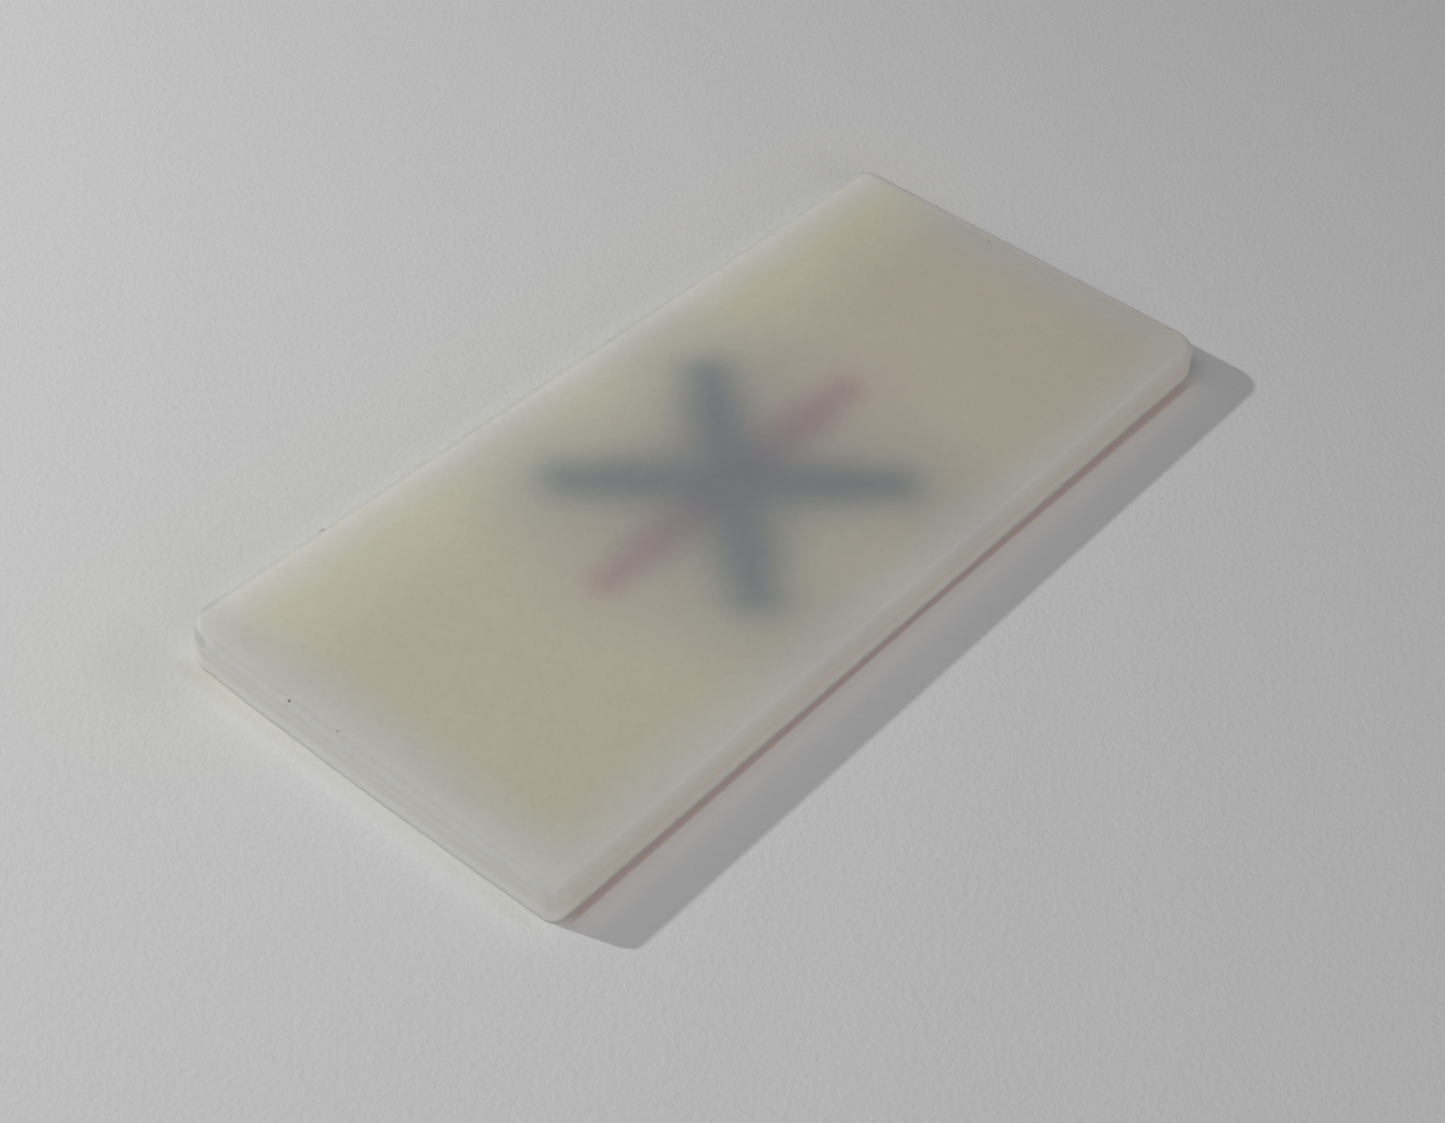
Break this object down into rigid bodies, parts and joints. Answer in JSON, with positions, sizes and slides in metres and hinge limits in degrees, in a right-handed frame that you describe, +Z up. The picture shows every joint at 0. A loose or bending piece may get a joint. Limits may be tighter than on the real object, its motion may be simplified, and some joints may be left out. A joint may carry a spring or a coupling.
{
  "type": "opal glass slide",
  "caption": "Plain milky opal glass slab of counting-slide size with soft rounded edges, and a blue cross and a red line let flush into its underside.",
  "frame": {"origin": "centre of the underside, on the surface the slab rests on", "axes": "+X along the slab's length, +Y across its width, +Z up through its thickness"},
  "size_m": [0.076, 0.0336, 0.0029],
  "materials": {
    "opal_glass": "milky, fine ground satin",
    "blue_fill": "matte enamel",
    "red_fill": "matte enamel"
  },
  "bodies": {
    "root": {"opal_slab": "opal_glass", "blue_stroke_first": "blue_fill", "blue_stroke_second": "blue_fill", "red_stroke": "red_fill"}
  },
  "joints": []
}
